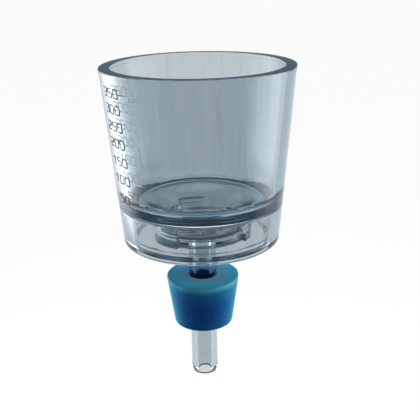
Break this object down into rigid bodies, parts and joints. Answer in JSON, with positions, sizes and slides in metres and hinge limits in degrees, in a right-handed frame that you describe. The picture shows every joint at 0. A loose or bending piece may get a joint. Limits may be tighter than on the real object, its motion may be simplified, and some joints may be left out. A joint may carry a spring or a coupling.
{
  "type": "vacuum filtration unit",
  "caption": "Clear graduated filter funnel with a skirt, bayonet-locked on a base with perforated membrane support, drain stem and tapered blue stopper for a vacuum flask.",
  "frame": {"origin": "on the axis at half the height of the stopper, where a flask neck grips it", "axes": "+Z along the axis, up from the stem to the rim; +X is the zero of the bayonet's angles"},
  "size_m": [0.1024, 0.1024, 0.1802],
  "materials": {
    "clear_funnel": "polished clear moulding with a faint blue-grey tint and raised graduations moulded in the wall",
    "clear_base": "polished clear moulding with a faint blue-grey tint",
    "clear_screen": "clear moulding with a fine satin face",
    "blue_silicone": "smooth satin silicone",
    "seal_silicone": "translucent silicone"
  },
  "bodies": {
    "base": {"base": "clear_base", "support_screen": "clear_screen", "stopper": "blue_silicone"},
    "seal": {"funnel_seal": "seal_silicone"},
    "funnel": {"funnel": "clear_funnel"}
  },
  "joints": [
    {"name": "funnel_lift", "type": "slide", "parent": "base", "child": "seal", "axis": [0, 0, 1], "range_m": [0, 0.04]},
    {"name": "funnel_turn", "type": "hinge", "parent": "seal", "child": "funnel", "pos_m": [0, 0, 0.0448], "axis": [0, 0, -1], "range_deg": [0, 33]}
  ]
}
